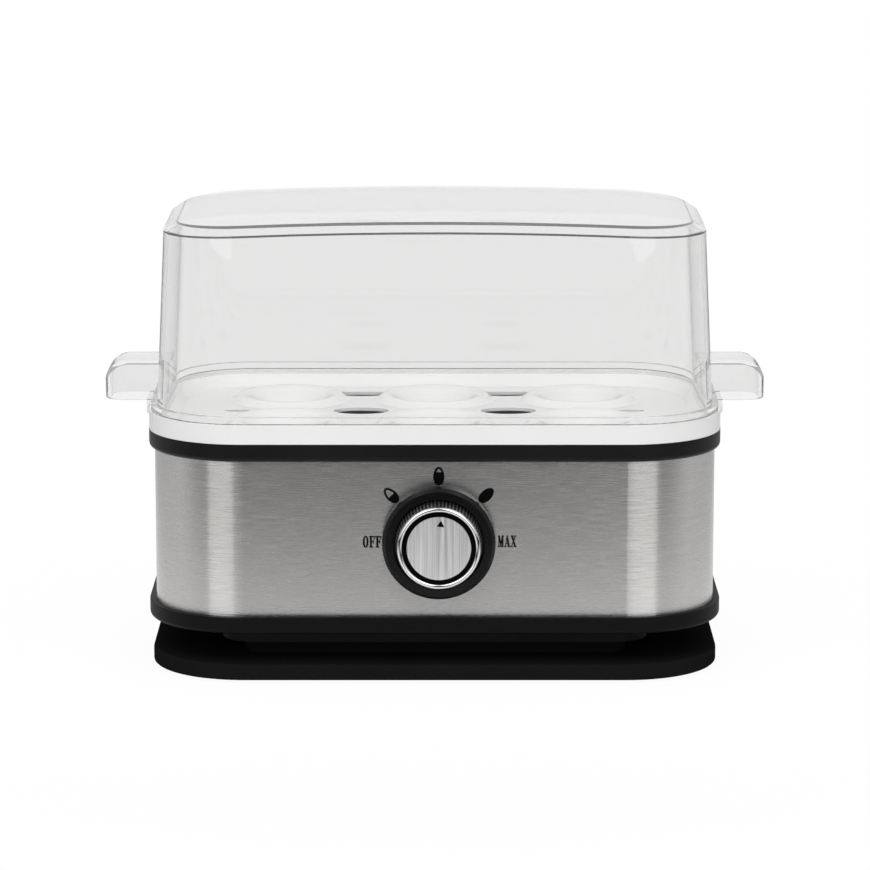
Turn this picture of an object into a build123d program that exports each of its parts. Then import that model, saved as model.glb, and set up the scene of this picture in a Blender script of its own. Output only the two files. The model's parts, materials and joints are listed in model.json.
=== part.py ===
from build123d import *
import math
import os

# Electric egg cooker: a steel-clad base with a heated water dish, a white egg tray and a clear lid.
# Millimetres. +Z is up, the knob is on the -Y side, and the feet stand on Z = 0.

# Body in plan: most outlines are this rounded rectangle, grown outwards or drawn in.
SLEEVE_WIDTH = 210.0
SLEEVE_DEPTH = 119.0
SLEEVE_CORNER = 34.0
SLEEVE_SHEET = 0.6

# Heights above the table
FOOT_STANDOFF = 1.0
FOOT_TOP = 7.2
BELLY_BOTTOM = 13.0
TRIM_BOTTOM = 18.8
TRIM_TOP = 25.2
COLLAR_BOTTOM = 83.6
COLLAR_TOP = 90.3
TRAY_RIM = 97.5
LID_TOP = 171.1

# How far each outline stands outside the sleeve
FOOT_GROW = 1.3
TRIM_GROW = 2.5
COLLAR_GROW = 2.1
TRAY_GROW = 2.0
LID_FLANGE_GROW = 1.3
LID_WALL_GROW = -1.0

# Walls and clearances
SHELL_WALL = 2.5
SLIP = 0.15
LIFT_CLEARANCE = 0.4
SEAT_GAP = 0.05
WIRE_GAP = 0.2
OVERRUN = 1.0

# Foot plate, its column and the rubber feet
FOOT_EDGE = 1.0
COLUMN_INSET = 8.0
COLUMN_CORNER = 8.0
RUBBER_RADIUS = 6.0
RUBBER_EDGE = 0.6
RUBBER_POCKET = 2.4
RUBBER_BOSS_WALL = 2.6
RUBBER_INSET_X = 27.0
RUBBER_INSET_Y = 20.0

# Bottom housing
TRIM_EDGE = 1.8
SLEEVE_LEDGE = 2.4
SLEEVE_LEDGE_HEIGHT = 1.0
BELLY_INSET_X = 28.0
BELLY_INSET_Y = 12.0
BELLY_CORNER = 13.0

# Fasteners
POST_RADIUS = 4.0
POST_CLEARANCE = 0.6
POST_INSET = 9.0
SCREW_RADIUS = 1.5
SCREW_HEAD_RADIUS = 2.8
SCREW_HEAD_HEIGHT = 2.0
SCREW_HEAD_EDGE = 0.65
SCREW_BITE = 10.0
RECESS_WIDTH = 0.9
RECESS_SPAN = 1.2
RECESS_DEPTH = 0.9
HOUSING_BOSS_HEIGHT = 3.2
FOOT_SCREW_INSET_X = 15.5
FOOT_SCREW_INSET_Y = 21.5
FOOT_BOSS_HEIGHT = 11.0

# Top collar, seal and heating plate
COLLAR_EDGE = 1.8
SLEEVE_TUCK = 2.2
COLLAR_OPENING = 13.1
RABBET_INSET = 8.1
RABBET_DEPTH = 4.2
SEAL_HEIGHT = 1.0
SEAL_INSET = 0.4
PLATE_SHEET = 0.8
DISH_DEPTH = 9.0
DISH_GAP = 1.5
DISH_EDGE = 3.0

# Heater under the dish
SPREADER_INSET_X = 17.5
SPREADER_INSET_Y = 12.5
SPREADER_CORNER = 12.0
SPREADER_SHEET = 2.0
ELEMENT_RADIUS = 3.2
ELEMENT_HALF_WIDTH = 60.0
ELEMENT_FRONT = -20.0
ELEMENT_BACK = 14.0
ELEMENT_END_INSET = 22.0
ELEMENT_LEAD_X = 14.0
ELEMENT_BEND = 8.0
PIN_RADIUS = 1.5
PIN_LENGTH = 6.0
STRAP_X = 30.0
STRAP_WIDTH = 14.0
STRAP_SHEET = 1.2
STRAP_CLEARANCE = 0.8
STRAP_SCREW_INSET = 3.4
STRAP_SCREW_RADIUS = 1.2
STRAP_SCREW_HEAD = 2.2
STRAP_SCREW_BITE = 4.0
THERMOSTAT_X = 12.0
THERMOSTAT_RADIUS = 7.5
THERMOSTAT_HEIGHT = 6.0
THERMOSTAT_CAP_RADIUS = 5.0
THERMOSTAT_CAP_HEIGHT = 3.0
FUSE_X = -18.0
FUSE_Y = -6.0
FUSE_RADIUS = 2.2
FUSE_LENGTH = 12.0
FUSE_LEAD_RADIUS = 0.6
FUSE_LEAD_LENGTH = 3.0

# Knob and regulator, on one axis through the front
KNOB_X = 1.5
KNOB_Z = 53.5
BEZEL_RADIUS = 20.9
BEZEL_BORE = 16.9
BEZEL_DEPTH = 5.0
BEZEL_FLOOR = 1.5
BEZEL_EDGE = 1.2
KNOB_STANDOFF = 12.0
KNOB_BACK_GAP = 0.6
KNOB_BASE_RADIUS = 16.3
KNOB_FACE_RADIUS = 15.3
KNOB_CORE_RADIUS = 13.5
KNOB_FACE_SINK = 0.5
KNURL_COUNT = 72
KNURL_DEPTH = 0.45
KNURL_BEAD = 1.6
RING_EDGE = 0.8
CAP_RADIUS = 11.8
CAP_SHEET = 1.0
CAP_PROUD = 0.2
KNOB_HOLLOW_RADIUS = 9.0
KNOB_WEB = 1.8
HUB_RADIUS = 5.2
SHAFT_RADIUS = 3.0
SHAFT_FLAT = 1.2
SHAFT_PLAY = 0.05
CLIP_SHEET = 0.6
CLIP_LENGTH = 2.0
CLIP_GAP = 3.0
BUSH_RADIUS = 4.5
NUT_FLATS = 13.0
NUT_HEIGHT = 2.5
REGULATOR_WIDTH = 30.0
REGULATOR_HEIGHT = 26.0
REGULATOR_DEPTH = 22.0
REGULATOR_CORNER = 3.0
REGULATOR_BORE_DEPTH = 10.0
TAB_X = 8.0
TAB_DROP = 6.0
TAB_WIDTH = 4.8
TAB_SHEET = 0.8
TAB_LENGTH = 8.0

# Buzzer, terminal block, cord gland and wires
BUZZER_X = -20.0
BUZZER_CLEARANCE = 10.0
BUZZER_RADIUS = 11.0
BUZZER_HEIGHT = 9.0
BUZZER_HOLE = 1.5
BUZZER_HOLE_DEPTH = 3.0
TERMINAL_X = 22.0
TERMINAL_CLEARANCE = 7.0
TERMINAL_WAYS = 3
TERMINAL_PITCH = 10.0
TERMINAL_DEPTH = 16.0
TERMINAL_HEIGHT = 14.0
TERMINAL_SCREW_RADIUS = 2.0
TERMINAL_SCREW_LENGTH = 4.0
TERMINAL_SCREW_SINK = 1.0
TERMINAL_WIRE_HEIGHT = 8.5
GLAND_X = 22.0
GLAND_Z = 38.0
GLAND_RADIUS = 5.5
GLAND_FLANGE_RADIUS = 8.5
GLAND_FLANGE = 2.4
GLAND_LENGTH = 10.0
GLAND_BORE = 3.5
GLAND_NUT_FLATS = 17.0
GLAND_NUT_HEIGHT = 5.0
WIRE_RADIUS = 1.2
WIRE_BEND = 5.0
WIRE_TURN = 3.2
WIRE_BACK_INSET = 8.0
WIRE_BACK_RUN = 12.0
WIRE_RISE = 12.0
TAB_LEAD = 10.0
LIVE_LEAD = 14.0
SWITCHED_RISE = 4.0
NEUTRAL_RUN = 11.0
NEUTRAL_SLANT = 4.0
NEUTRAL_STEP = 12.0
NEUTRAL_OUT = 8.0
NEUTRAL_BACK = 14.0
NEUTRAL_DROP = 18.0
NEUTRAL_LEAD = 9.0
NEUTRAL_RISE = 6.0
FUSE_WIRE_RUN = 19.0
FUSE_WIRE_BACK = 8.0
FUSE_WIRE_STEP = 13.0
FUSE_WIRE_DROP = 16.0
EARTH_LEAD = 12.0
EARTH_RISE = 9.0

# Egg tray: two rows of three seats
EGG_COLUMNS = 3
EGG_ROWS = 2
EGG_PITCH_X = 56.0
EGG_PITCH_Y = 50.0
SEAT_RADIUS = 23.0
CREST_RADIUS = 19.0
CUP_RADIUS = 6.0
CREST_RISE = 2.2
CUP_DROP = 4.6
BOWL_START = 0.25
BOWL_END = 0.25
TRAY_WALL = 1.6
TRAY_FLOOR = 91.6
LID_REBATE = 1.4
TRAY_LEDGE = 3.6
TRAY_SLOPE = 3.0
TRAY_SPIGOT = 2.0
STEAM_HOLE_WIDTH = 21.0
STEAM_HOLE_DEPTH = 13.5
EDGE_HOLE_WIDTH = 28.0
EDGE_HOLE_DEPTH = 9.4
EDGE_HOLE_Y = 40.2
END_HOLE_WIDTH = 10.4
END_HOLE_DEPTH = 4.6
END_HOLE_X = 75.0
LUG_REACH = 2.0
LUG_WIDTH = 20.0
LUG_HEIGHT = 4.5

# Lid
LID_WALL = 1.8
LID_DRAFT = 2.7
LID_FLANGE = 2.6
LID_SPIGOT = 1.1
LID_CROWN = 3.0
LID_CHAMFER_INSET = 5.0
LID_CHAMFER_DROP = 3.1
HANDLE_REACH = 21.0
HANDLE_WIDTH = 20.0
HANDLE_TOP = 112.7
HANDLE_CORNER = 9.0
HANDLE_NOSE = 7.5

# Places that follow from the sizes above
HALF_WIDTH = SLEEVE_WIDTH / 2
HALF_DEPTH = SLEEVE_DEPTH / 2
FRONT = -HALF_DEPTH
INNER_FRONT = FRONT + SLEEVE_SHEET
BELLY_WIDTH = SLEEVE_WIDTH + 2 * (TRIM_GROW - BELLY_INSET_X)
BELLY_DEPTH = SLEEVE_DEPTH + 2 * (TRIM_GROW - BELLY_INSET_Y)
BELLY_FLOOR = BELLY_BOTTOM + SHELL_WALL
BELLY_BACK = BELLY_DEPTH / 2 - SHELL_WALL
FOOT_SCREW_X = BELLY_WIDTH / 2 - FOOT_SCREW_INSET_X
FOOT_SCREW_Y = BELLY_DEPTH / 2 - FOOT_SCREW_INSET_Y
HOUSING_FLOOR = TRIM_BOTTOM + SHELL_WALL
SLEEVE_LOW = HOUSING_FLOOR + SLEEVE_LEDGE_HEIGHT
SLEEVE_HIGH = COLLAR_BOTTOM + SLEEVE_TUCK
POST_X = HALF_WIDTH - SLEEVE_CORNER - POST_INSET
POST_Y = HALF_DEPTH - SLEEVE_SHEET - POST_CLEARANCE - POST_RADIUS
POST_FOOT = HOUSING_FLOOR + HOUSING_BOSS_HEIGHT
RUBBER_X = HALF_WIDTH + FOOT_GROW - RUBBER_INSET_X
RUBBER_Y = HALF_DEPTH + FOOT_GROW - RUBBER_INSET_Y
RABBET_GROW = COLLAR_GROW - RABBET_INSET
OPENING_GROW = COLLAR_GROW - COLLAR_OPENING
RABBET_FLOOR = COLLAR_TOP - RABBET_DEPTH
FLANGE_LOW = RABBET_FLOOR + SEAL_HEIGHT
DISH_GROW = OPENING_GROW - DISH_GAP
DISH_BOTTOM = FLANGE_LOW - DISH_DEPTH
SPREADER_WIDTH = 2 * (HALF_WIDTH + DISH_GROW - SPREADER_INSET_X)
SPREADER_DEPTH = 2 * (HALF_DEPTH + DISH_GROW - SPREADER_INSET_Y)
SPREADER_BOTTOM = DISH_BOTTOM - SPREADER_SHEET
ELEMENT_END = HALF_DEPTH - ELEMENT_END_INSET
ELEMENT_Z = SPREADER_BOTTOM - SEAT_GAP - ELEMENT_RADIUS
STRAP_TOP = ELEMENT_Z - ELEMENT_RADIUS - SEAT_GAP
STRAP_SCREW_Y = HALF_DEPTH - STRAP_SCREW_INSET
PIN_END = ELEMENT_END + PIN_LENGTH
FUSE_Z = SPREADER_BOTTOM - SEAT_GAP - FUSE_RADIUS
BEZEL_FACE = FRONT - BEZEL_DEPTH
BEZEL_INSIDE = FRONT - BEZEL_FLOOR
NUT_FRONT = BEZEL_INSIDE - NUT_HEIGHT
KNOB_FRONT = FRONT - KNOB_STANDOFF
KNOB_BACK = BEZEL_INSIDE - KNOB_BACK_GAP
KNOB_FACE = KNOB_FRONT + KNOB_FACE_SINK
HUB_BACK = NUT_FRONT - KNOB_BACK_GAP
HUB_FRONT = KNOB_FACE + CAP_SHEET + KNOB_WEB
REGULATOR_BACK = INNER_FRONT + REGULATOR_DEPTH
TAB_END = REGULATOR_BACK + TAB_LENGTH
TAB_Z = KNOB_Z - TAB_DROP
BUZZER_Y = BELLY_BACK - BUZZER_CLEARANCE - BUZZER_RADIUS
TERMINAL_Y = BELLY_BACK - TERMINAL_CLEARANCE - TERMINAL_DEPTH / 2
TERMINAL_FRONT = TERMINAL_Y - TERMINAL_DEPTH / 2
TERMINAL_WIRE_Z = BELLY_FLOOR + TERMINAL_WIRE_HEIGHT
WIRE_BACK_Y = HALF_DEPTH - WIRE_BACK_INSET
LEDGE_Z = TRAY_RIM - LID_REBATE
LEDGE_GROW = LID_WALL_GROW - TRAY_LEDGE
FLOOR_GROW = LEDGE_GROW - TRAY_SLOPE
SPIGOT_LOW = COLLAR_TOP - TRAY_SPIGOT
TRAY_SKIN = TRAY_FLOOR - COLLAR_TOP
CREST_Z = TRAY_FLOOR + CREST_RISE
CUP_Z = TRAY_FLOOR - CUP_DROP
CHAMFER_STEEPNESS = 1 / LID_CHAMFER_INSET + 1 / LID_CHAMFER_DROP
CHAMFER_SLANT = math.hypot(1 / LID_CHAMFER_INSET, 1 / LID_CHAMFER_DROP)
INNER_CHAMFER = 1 - LID_WALL * (CHAMFER_STEEPNESS - CHAMFER_SLANT)
HANDLE_ROOT = HALF_WIDTH + LID_WALL_GROW
HANDLE_TIP = HANDLE_ROOT + HANDLE_REACH

# The knob stands out at the front, so the whole is moved back to centre its box on the origin.
CENTRE_SHIFT = (KNOB_STANDOFF - TRIM_GROW) / 2


def plan(grow):
    """The body's rounded outline, grown outwards from the sleeve's outer face."""
    width = SLEEVE_WIDTH + 2 * grow
    depth = SLEEVE_DEPTH + 2 * grow
    return RectangleRounded(width, depth, SLEEVE_CORNER + grow)


def slab(grow, low, high):
    """A block with the body's outline between two heights."""
    return Pos(0, 0, low) * extrude(plan(grow), high - low)


def block(width, depth, corner, low, high):
    """A block with rounded upright edges, centred on the axis."""
    return Pos(0, 0, low) * extrude(RectangleRounded(width, depth, corner), high - low)


def rod(x, y, radius, low, high):
    """An upright cylinder."""
    return Pos(x, y, low) * extrude(Circle(radius), high - low)


def along_y(x, z, sketch, front, back):
    """A sketch carried from front to back along +Y, about the line through x and z."""
    return Pos(x, front, z) * Rot(-90, 0, 0) * extrude(sketch, back - front)


def turned_face(profile):
    """A solid turned about the knob's axis from a face of radius and Y."""
    return Pos(KNOB_X, 0, KNOB_Z) * revolve(profile, Axis.Y)


def turned(points):
    """A solid turned about the knob's axis from points of radius and Y."""
    return turned_face(make_face(Polyline(*points, close=True).edges()))


def corners(x, y):
    """The four places that mirror one point in both middle planes."""
    return [(sx * x, sy * y) for sx in (-1, 1) for sy in (-1, 1)]


def upright_screw(x, y, seat, bite, radius=SCREW_RADIUS, head=SCREW_HEAD_RADIUS):
    """A pan-head screw driven upwards, its head under the seat height."""
    low = seat - SCREW_HEAD_HEIGHT
    screw = rod(x, y, head, low, seat)
    screw = fillet(screw.edges().sort_by(Axis.Z)[0], SCREW_HEAD_EDGE)
    screw += rod(x, y, radius, seat, seat + bite)
    span = RECESS_SPAN * head
    for width, depth in ((RECESS_WIDTH, span), (span, RECESS_WIDTH)):
        screw -= Pos(x, y, low + RECESS_DEPTH / 2) * Box(width, depth, RECESS_DEPTH)
    return screw


def wire(*points, radii):
    """A round lead along straight runs joined by arcs."""
    path = FilletPolyline(*points, radius=radii)
    start = Plane(origin=path @ 0, z_dir=path % 0)
    return sweep(start * Circle(WIRE_RADIUS), path=path)


def make_foot_plate():
    """Plate that the base stands on, with the column that leaves the cord-wrap groove above it."""
    plate = slab(FOOT_GROW, FOOT_STANDOFF, FOOT_TOP)
    rims = plate.edges().group_by(Axis.Z)
    plate = fillet(rims[0] + rims[-1], FOOT_EDGE)
    column_width = BELLY_WIDTH - 2 * COLUMN_INSET
    column_depth = BELLY_DEPTH - 2 * COLUMN_INSET
    plate += block(column_width, column_depth, COLUMN_CORNER, FOOT_TOP - SHELL_WALL, BELLY_BOTTOM)
    plate -= slab(FOOT_GROW - SHELL_WALL, FOOT_STANDOFF, FOOT_TOP - SHELL_WALL)
    inner_width = column_width - 2 * SHELL_WALL
    inner_depth = column_depth - 2 * SHELL_WALL
    inner_corner = COLUMN_CORNER - SHELL_WALL
    plate -= block(inner_width, inner_depth, inner_corner, FOOT_STANDOFF, BELLY_BOTTOM - SHELL_WALL)
    for x, y in corners(RUBBER_X, RUBBER_Y):
        plate += rod(x, y, RUBBER_RADIUS + RUBBER_BOSS_WALL, FOOT_STANDOFF, FOOT_TOP - SHELL_WALL / 2)
        plate -= rod(x, y, RUBBER_RADIUS + SLIP, FOOT_STANDOFF, FOOT_STANDOFF + RUBBER_POCKET)
    for x, y in corners(FOOT_SCREW_X, FOOT_SCREW_Y):
        plate -= rod(x, y, SCREW_RADIUS + SLIP, FOOT_STANDOFF, BELLY_BOTTOM)
    return plate


def make_rubber_feet():
    """Four rubber discs pressed into pockets under the foot plate."""
    feet = []
    for x, y in corners(RUBBER_X, RUBBER_Y):
        foot = rod(x, y, RUBBER_RADIUS, 0, FOOT_STANDOFF + RUBBER_POCKET)
        feet.append(fillet(foot.edges().sort_by(Axis.Z)[0], RUBBER_EDGE))
    return feet


def make_foot_screws():
    """Four screws that hold the foot plate's column to the belly."""
    seat = BELLY_BOTTOM - SHELL_WALL
    bite = 2 * SHELL_WALL + SCREW_BITE
    return [upright_screw(x, y, seat, bite) for x, y in corners(FOOT_SCREW_X, FOOT_SCREW_Y)]


def make_bottom_housing():
    """Black floor of the base: the trim ring round the sleeve's foot and the belly under it."""
    housing = slab(TRIM_GROW, TRIM_BOTTOM, TRIM_TOP)
    rims = housing.edges().group_by(Axis.Z)
    housing = fillet(rims[0], TRIM_EDGE)
    housing += block(BELLY_WIDTH, BELLY_DEPTH, BELLY_CORNER, BELLY_BOTTOM, HOUSING_FLOOR)
    housing -= slab(SLIP, SLEEVE_LOW, TRIM_TOP)
    housing -= slab(-SLEEVE_SHEET - SLEEVE_LEDGE, HOUSING_FLOOR, SLEEVE_LOW)
    inner_width = BELLY_WIDTH - 2 * SHELL_WALL
    inner_depth = BELLY_DEPTH - 2 * SHELL_WALL
    housing -= block(inner_width, inner_depth, BELLY_CORNER - SHELL_WALL, BELLY_FLOOR, TRIM_TOP)
    for x, y in corners(POST_X, POST_Y):
        housing += rod(x, y, POST_RADIUS, TRIM_BOTTOM, POST_FOOT)
        housing -= rod(x, y, SCREW_RADIUS + SLIP, TRIM_BOTTOM, POST_FOOT)
        housing -= rod(x, y, SCREW_HEAD_RADIUS + SLIP, TRIM_BOTTOM, TRIM_BOTTOM + SCREW_HEAD_HEIGHT)
    for x, y in corners(FOOT_SCREW_X, FOOT_SCREW_Y):
        housing += rod(x, y, POST_RADIUS, BELLY_BOTTOM, BELLY_FLOOR + FOOT_BOSS_HEIGHT)
        housing -= rod(x, y, SCREW_RADIUS + SEAT_GAP, BELLY_BOTTOM, BELLY_FLOOR + SCREW_BITE)
    return housing


def make_housing_screws():
    """Four screws up through the housing floor into the collar's posts."""
    seat = TRIM_BOTTOM + SCREW_HEAD_HEIGHT
    bite = POST_FOOT - seat + SCREW_BITE
    return [upright_screw(x, y, seat, bite) for x, y in corners(POST_X, POST_Y)]


def make_steel_sleeve():
    """Brushed steel band round the base, with holes for the regulator's bush and the cord gland."""
    sleeve = slab(0, SLEEVE_LOW, SLEEVE_HIGH) - slab(-SLEEVE_SHEET, SLEEVE_LOW, SLEEVE_HIGH)
    sleeve -= along_y(KNOB_X, KNOB_Z, Circle(BUSH_RADIUS + SLIP), FRONT - OVERRUN, 0)
    sleeve -= along_y(GLAND_X, GLAND_Z, Circle(GLAND_RADIUS + SLIP), 0, HALF_DEPTH + OVERRUN)
    return sleeve


def make_top_collar():
    """Black ring on top of the sleeve, rabbeted for the heating plate, with four posts to the floor."""
    collar = slab(COLLAR_GROW, COLLAR_BOTTOM, COLLAR_TOP)
    collar = fillet(collar.edges().group_by(Axis.Z)[0], COLLAR_EDGE)
    collar -= slab(OPENING_GROW, COLLAR_BOTTOM, COLLAR_TOP)
    collar -= slab(RABBET_GROW, RABBET_FLOOR, COLLAR_TOP)
    groove = slab(SLIP, COLLAR_BOTTOM, SLEEVE_HIGH)
    collar -= groove - slab(-SLEEVE_SHEET - SLIP, COLLAR_BOTTOM, SLEEVE_HIGH)
    for x, y in corners(POST_X, POST_Y):
        collar += rod(x, y, POST_RADIUS, POST_FOOT, COLLAR_BOTTOM + OVERRUN)
        collar -= rod(x, y, SCREW_RADIUS + SEAT_GAP, POST_FOOT, POST_FOOT + SCREW_BITE)
    for x, y in corners(STRAP_X, STRAP_SCREW_Y):
        hole = STRAP_SCREW_RADIUS + SEAT_GAP
        collar -= rod(x, y, hole, COLLAR_BOTTOM, COLLAR_BOTTOM + STRAP_SCREW_BITE)
    return collar


def make_plate_seal():
    """Silicone gasket between the collar's rabbet and the plate's flange."""
    outer = slab(RABBET_GROW - SEAL_INSET, RABBET_FLOOR, FLANGE_LOW)
    return outer - slab(OPENING_GROW + SEAL_INSET, RABBET_FLOOR, FLANGE_LOW)


def make_heating_plate():
    """Pressed steel water dish with a flange that rests on the seal."""
    plate = slab(DISH_GROW, DISH_BOTTOM, FLANGE_LOW)
    plate = fillet(plate.edges().group_by(Axis.Z)[0], DISH_EDGE)
    plate += slab(RABBET_GROW - SLIP, FLANGE_LOW, FLANGE_LOW + PLATE_SHEET)
    hollow = slab(DISH_GROW - PLATE_SHEET, DISH_BOTTOM + PLATE_SHEET, COLLAR_TOP)
    hollow = fillet(hollow.edges().group_by(Axis.Z)[0], DISH_EDGE - PLATE_SHEET)
    return plate - hollow


def make_heat_spreader():
    """Aluminium plate bonded under the dish."""
    return block(SPREADER_WIDTH, SPREADER_DEPTH, SPREADER_CORNER, SPREADER_BOTTOM, DISH_BOTTOM)


def make_heating_element():
    """Tubular heater bent into a loop under the spreader, with a pin at each end."""
    half = [
        (ELEMENT_LEAD_X, ELEMENT_END, ELEMENT_Z),
        (ELEMENT_LEAD_X, ELEMENT_BACK, ELEMENT_Z),
        (ELEMENT_HALF_WIDTH, ELEMENT_BACK, ELEMENT_Z),
        (ELEMENT_HALF_WIDTH, ELEMENT_FRONT, ELEMENT_Z),
    ]
    other = [(-x, y, z) for x, y, z in reversed(half)]
    path = FilletPolyline(*half, *other, radius=ELEMENT_BEND)
    start = Plane(origin=path @ 0, z_dir=path % 0)
    element = sweep(start * Circle(ELEMENT_RADIUS), path=path)
    for x in (-ELEMENT_LEAD_X, ELEMENT_LEAD_X):
        element += along_y(x, ELEMENT_Z, Circle(PIN_RADIUS), ELEMENT_END - OVERRUN, PIN_END)
    return element


def make_plate_straps():
    """Two steel straps hung from the collar that press the heater up against the dish."""
    leg = HALF_DEPTH + DISH_GROW + STRAP_CLEARANCE
    tab = STRAP_SCREW_Y + STRAP_SCREW_HEAD
    half = [
        (0, STRAP_TOP - STRAP_SHEET),
        (leg + STRAP_SHEET, STRAP_TOP - STRAP_SHEET),
        (leg + STRAP_SHEET, COLLAR_BOTTOM - STRAP_SHEET),
        (tab, COLLAR_BOTTOM - STRAP_SHEET),
        (tab, COLLAR_BOTTOM),
        (leg, COLLAR_BOTTOM),
        (leg, STRAP_TOP),
        (0, STRAP_TOP),
    ]
    profile = make_face(Polyline(*half, close=True).edges())
    straps = []
    for x in (-STRAP_X, STRAP_X):
        side = extrude(Plane.YZ.offset(x - STRAP_WIDTH / 2) * profile, STRAP_WIDTH)
        strap = side + mirror(side, Plane.XZ)
        for y in (-STRAP_SCREW_Y, STRAP_SCREW_Y):
            strap -= rod(x, y, STRAP_SCREW_RADIUS + SEAT_GAP, COLLAR_BOTTOM - STRAP_SHEET, COLLAR_BOTTOM)
        straps.append(strap)
    return straps


def make_strap_screws():
    """Screws that hang the straps from the collar."""
    seat = COLLAR_BOTTOM - STRAP_SHEET
    bite = STRAP_SHEET + STRAP_SCREW_BITE
    places = corners(STRAP_X, STRAP_SCREW_Y)
    return [upright_screw(x, y, seat, bite, STRAP_SCREW_RADIUS, STRAP_SCREW_HEAD) for x, y in places]


def make_thermostat():
    """Disc thermostat held against the spreader."""
    low = SPREADER_BOTTOM - THERMOSTAT_HEIGHT
    body = rod(THERMOSTAT_X, 0, THERMOSTAT_RADIUS, low, SPREADER_BOTTOM)
    return body + rod(THERMOSTAT_X, 0, THERMOSTAT_CAP_RADIUS, low - THERMOSTAT_CAP_HEIGHT, low)


def make_thermal_fuse():
    """One-shot thermal fuse with a lead at each end."""
    place = Pos(FUSE_X, FUSE_Y, FUSE_Z) * Rot(0, 90, 0)
    body = Cylinder(FUSE_RADIUS, FUSE_LENGTH)
    leads = Cylinder(FUSE_LEAD_RADIUS, FUSE_LENGTH + 2 * FUSE_LEAD_LENGTH)
    return place * (body + leads)


def make_regulator_body():
    """Rotary regulator behind the front, with a threaded bush through it and two spade tabs."""
    case_plan = RectangleRounded(REGULATOR_WIDTH, REGULATOR_HEIGHT, REGULATOR_CORNER)
    body = along_y(KNOB_X, KNOB_Z, case_plan, INNER_FRONT, REGULATOR_BACK)
    body += along_y(KNOB_X, KNOB_Z, Circle(BUSH_RADIUS), NUT_FRONT, INNER_FRONT)
    bore_end = INNER_FRONT + REGULATOR_BORE_DEPTH
    body -= along_y(KNOB_X, KNOB_Z, Circle(SHAFT_RADIUS + SHAFT_PLAY), NUT_FRONT, bore_end)
    for x in (KNOB_X - TAB_X, KNOB_X + TAB_X):
        body += along_y(x, TAB_Z, Rectangle(TAB_SHEET, TAB_WIDTH), REGULATOR_BACK, TAB_END)
    return body


def make_regulator_nut():
    """Hexagon nut that clamps bezel, sleeve and regulator together."""
    hexagon = RegularPolygon(NUT_FLATS / 2, 6, major_radius=False)
    nut = along_y(KNOB_X, KNOB_Z, hexagon, NUT_FRONT, BEZEL_INSIDE)
    return nut - along_y(KNOB_X, KNOB_Z, Circle(BUSH_RADIUS + SEAT_GAP), NUT_FRONT, BEZEL_INSIDE)


def make_regulator_shaft():
    """Steel spindle from the regulator to the knob, flatted where the hub grips it."""
    back = INNER_FRONT + REGULATOR_BORE_DEPTH - SEAT_GAP
    shaft = along_y(KNOB_X, KNOB_Z, Circle(SHAFT_RADIUS), HUB_FRONT, back)
    flat = 2 * SHAFT_RADIUS
    low = KNOB_Z + SHAFT_RADIUS - SHAFT_FLAT + flat / 2
    return shaft - along_y(KNOB_X, low, Rectangle(flat, flat), HUB_FRONT, HUB_BACK)


def make_knob_bezel():
    """Fixed black ring round the knob, a shallow cup clamped against the sleeve."""
    bore = BUSH_RADIUS + SLIP
    rim = [
        (bore, FRONT),
        (BEZEL_RADIUS, FRONT),
        (BEZEL_RADIUS, BEZEL_FACE + BEZEL_EDGE),
        (BEZEL_RADIUS - BEZEL_EDGE, BEZEL_FACE),
        (BEZEL_BORE, BEZEL_FACE),
        (BEZEL_BORE, BEZEL_INSIDE),
        (bore, BEZEL_INSIDE),
    ]
    return turned(rim)


def make_knob_body():
    """Black knob core: a cup with a flatted hub, open at the back over the nut."""
    core = KNOB_CORE_RADIUS - SEAT_GAP
    pocket = CAP_RADIUS + SEAT_GAP
    outside = [
        (0, KNOB_BACK),
        (core, KNOB_BACK),
        (core, KNOB_FACE),
        (pocket, KNOB_FACE),
        (pocket, KNOB_FACE + CAP_SHEET),
        (0, KNOB_FACE + CAP_SHEET),
    ]
    hollow = [
        (0, KNOB_BACK),
        (KNOB_HOLLOW_RADIUS, KNOB_BACK),
        (KNOB_HOLLOW_RADIUS, HUB_FRONT),
        (HUB_RADIUS, HUB_FRONT),
        (HUB_RADIUS, HUB_BACK),
        (0, HUB_BACK),
    ]
    body = turned(outside) - turned(hollow)
    grip = SHAFT_RADIUS + SEAT_GAP
    bore = along_y(KNOB_X, KNOB_Z, Circle(grip), HUB_FRONT, HUB_BACK)
    flat = 2 * grip
    low = KNOB_Z + grip - SHAFT_FLAT + flat / 2
    return body - (bore - along_y(KNOB_X, low, Rectangle(flat, flat), HUB_FRONT, HUB_BACK))


def make_knob_ring():
    """Chromed ring round the knob: a knurled grip with a smooth bead at the front."""
    tip = KNOB_BASE_RADIUS
    root = tip - KNURL_DEPTH
    teeth = []
    for step in range(2 * KNURL_COUNT):
        angle = math.pi * step / KNURL_COUNT
        radius = tip if step % 2 == 0 else root
        teeth.append((radius * math.cos(angle), radius * math.sin(angle)))
    grip = along_y(KNOB_X, KNOB_Z, make_face(Polyline(*teeth, close=True).edges()), KNOB_FRONT, KNOB_BACK)
    cone = [
        (KNOB_CORE_RADIUS, KNOB_BACK),
        (KNOB_BASE_RADIUS, KNOB_BACK),
        (KNOB_FACE_RADIUS, KNOB_FRONT + KNURL_BEAD),
        (KNOB_CORE_RADIUS, KNOB_FRONT + KNURL_BEAD),
    ]
    inner = (KNOB_CORE_RADIUS, KNOB_FRONT + RING_EDGE)
    nose = ((KNOB_CORE_RADIUS + KNOB_FACE_RADIUS) / 2, KNOB_FRONT)
    outer = (KNOB_FACE_RADIUS, KNOB_FRONT + RING_EDGE)
    back = Polyline(outer, cone[2], cone[3], inner)
    bead = make_face(ThreePointArc(inner, nose, outer).edges() + back.edges())
    return (grip & turned(cone)) + turned_face(bead)


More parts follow.
